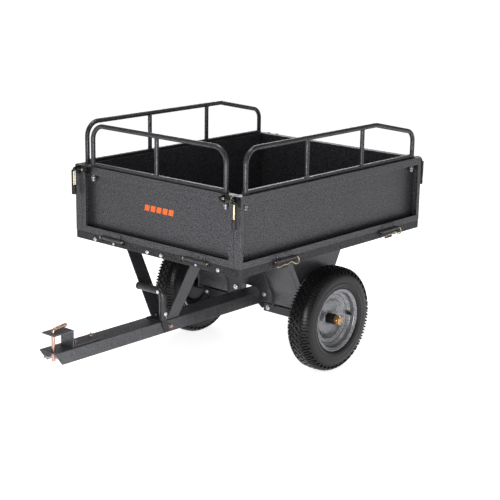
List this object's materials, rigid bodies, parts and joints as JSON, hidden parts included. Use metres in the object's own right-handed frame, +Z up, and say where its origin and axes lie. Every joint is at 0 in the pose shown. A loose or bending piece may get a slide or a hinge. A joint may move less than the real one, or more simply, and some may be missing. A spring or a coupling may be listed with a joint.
{
  "type": "tow behind cart",
  "caption": "Steel tow-behind dump cart with fold-down sides, guard rails, corner latches, pneumatic wheels, a tilting bed on one axle and a channel tongue with pin hitch.",
  "frame": {"origin": "centre of the whole cart's box, on the ground", "axes": "+Z up, the tongue points along -Y, the tailgate is at +Y, +X is the cart's left side"},
  "size_m": [0.7902, 1.4464, 0.8486],
  "materials": {
    "textured_coat": "dark grey hammered powder coat, speckled",
    "rail_coat": "dark grey fine-textured powder coat",
    "tongue_paint": "smooth satin dark grey paint",
    "wheel_paint": "satin grey paint",
    "tyre_rubber": "matte black rubber",
    "gold_zinc": "yellow zinc plating",
    "black_fitting": "black paint",
    "grip_rubber": "soft black grip",
    "silver_steel": "bright zinc",
    "bush_nylon": "off-white nylon"
  },
  "bodies": {
    "chassis": {"tongue": "tongue_paint", "hitch_bracket": "tongue_paint", "axle": "tongue_paint", "tongue_cross_bolt": "gold_zinc", "hub_cap_left": "gold_zinc", "hub_cap_right": "gold_zinc"},
    "hitch_pin_group": {"hitch_pin": "gold_zinc", "hitch_clip": "gold_zinc"},
    "bed": {"bed_pan": "textured_coat", "axle_bracket_left": "tongue_paint", "axle_bracket_right": "tongue_paint", "axle_saddle_left": "tongue_paint", "axle_saddle_right": "tongue_paint", "bracket_bridge": "tongue_paint", "brace_left": "tongue_paint", "brace_right": "tongue_paint", "brace_foot": "tongue_paint", "pedal_pivot_bolt": "silver_steel", "hinge_pin_front_right": "gold_zinc", "hinge_pin_front_left": "gold_zinc", "hinge_pin_rear_right": "gold_zinc", "hinge_pin_rear_left": "gold_zinc", "hinge_pin_left_front": "gold_zinc", "hinge_pin_left_rear": "gold_zinc", "hinge_pin_right_front": "gold_zinc", "hinge_pin_right_rear": "gold_zinc"},
    "pedal": {"dump_pedal": "tongue_paint"},
    "front_side": {"front_panel": "textured_coat", "front_guard_rail": "rail_coat", "latch_eye_front_left": "black_fitting", "latch_eye_front_right": "black_fitting"},
    "tailgate": {"rear_panel": "textured_coat", "latch_eye_rear_left": "black_fitting", "latch_eye_rear_right": "black_fitting"},
    "left_side": {"left_panel": "textured_coat", "left_guard_rail": "rail_coat", "latch_bracket_front_left": "black_fitting", "latch_bracket_rear_left": "black_fitting"},
    "right_side": {"right_panel": "textured_coat", "right_guard_rail": "rail_coat", "latch_bracket_front_right": "black_fitting", "latch_bracket_rear_right": "black_fitting"},
    "wheel_left": {"tyre_left": "tyre_rubber", "rim_left": "wheel_paint", "hub_bush_left": "bush_nylon"},
    "wheel_right": {"tyre_right": "tyre_rubber", "rim_right": "wheel_paint", "hub_bush_right": "bush_nylon"},
    "latch_front_left": {"latch_pin_front_left": "gold_zinc", "latch_grip_front_left": "grip_rubber"},
    "latch_front_right": {"latch_pin_front_right": "gold_zinc", "latch_grip_front_right": "grip_rubber"},
    "latch_rear_left": {"latch_pin_rear_left": "gold_zinc", "latch_grip_rear_left": "grip_rubber"},
    "latch_rear_right": {"latch_pin_rear_right": "gold_zinc", "latch_grip_rear_right": "grip_rubber"}
  },
  "joints": [
    {"name": "bed_tilt", "type": "hinge", "parent": "chassis", "child": "bed", "pos_m": [0, 0.26475, 0.1835], "axis": [-1, 0, 0], "range_deg": [0, 35]},
    {"name": "wheel_left_spin", "type": "hinge", "parent": "chassis", "child": "wheel_left", "pos_m": [0.318, 0.26475, 0.1835], "axis": [1, 0, 0], "continuous": true},
    {"name": "wheel_right_spin", "type": "hinge", "parent": "chassis", "child": "wheel_right", "pos_m": [-0.318, 0.26475, 0.1835], "axis": [1, 0, 0], "continuous": true},
    {"name": "front_side_fold", "type": "hinge", "parent": "bed", "child": "front_side", "pos_m": [0, -0.27325, 0.466], "axis": [1, 0, 0], "range_deg": [0, 90]},
    {"name": "tailgate_fold", "type": "hinge", "parent": "bed", "child": "tailgate", "pos_m": [0, 0.70375, 0.466], "axis": [-1, 0, 0], "range_deg": [0, 90]},
    {"name": "left_side_fold", "type": "hinge", "parent": "bed", "child": "left_side", "pos_m": [0.387, 0.21525, 0.466], "axis": [0, 1, 0], "range_deg": [0, 90]},
    {"name": "right_side_fold", "type": "hinge", "parent": "bed", "child": "right_side", "pos_m": [-0.387, 0.21525, 0.466], "axis": [0, -1, 0], "range_deg": [0, 90]},
    {"name": "pedal_press", "type": "hinge", "parent": "bed", "child": "pedal", "pos_m": [0.0415, -0.25825, 0.243], "axis": [1, 0, 0], "range_deg": [-8, 7]},
    {"name": "hitch_pin_lift", "type": "slide", "parent": "chassis", "child": "hitch_pin_group", "axis": [0, 0, 1], "range_m": [0, 0.018]},
    {"name": "latch_front_left_slide", "type": "slide", "parent": "left_side", "child": "latch_front_left", "axis": [-1, 0, 0], "range_m": [-0.012, 0.008]},
    {"name": "latch_front_right_slide", "type": "slide", "parent": "right_side", "child": "latch_front_right", "axis": [1, 0, 0], "range_m": [-0.012, 0.008]},
    {"name": "latch_rear_left_slide", "type": "slide", "parent": "left_side", "child": "latch_rear_left", "axis": [-1, 0, 0], "range_m": [-0.012, 0.008]},
    {"name": "latch_rear_right_slide", "type": "slide", "parent": "right_side", "child": "latch_rear_right", "axis": [1, 0, 0], "range_m": [-0.012, 0.008]}
  ]
}
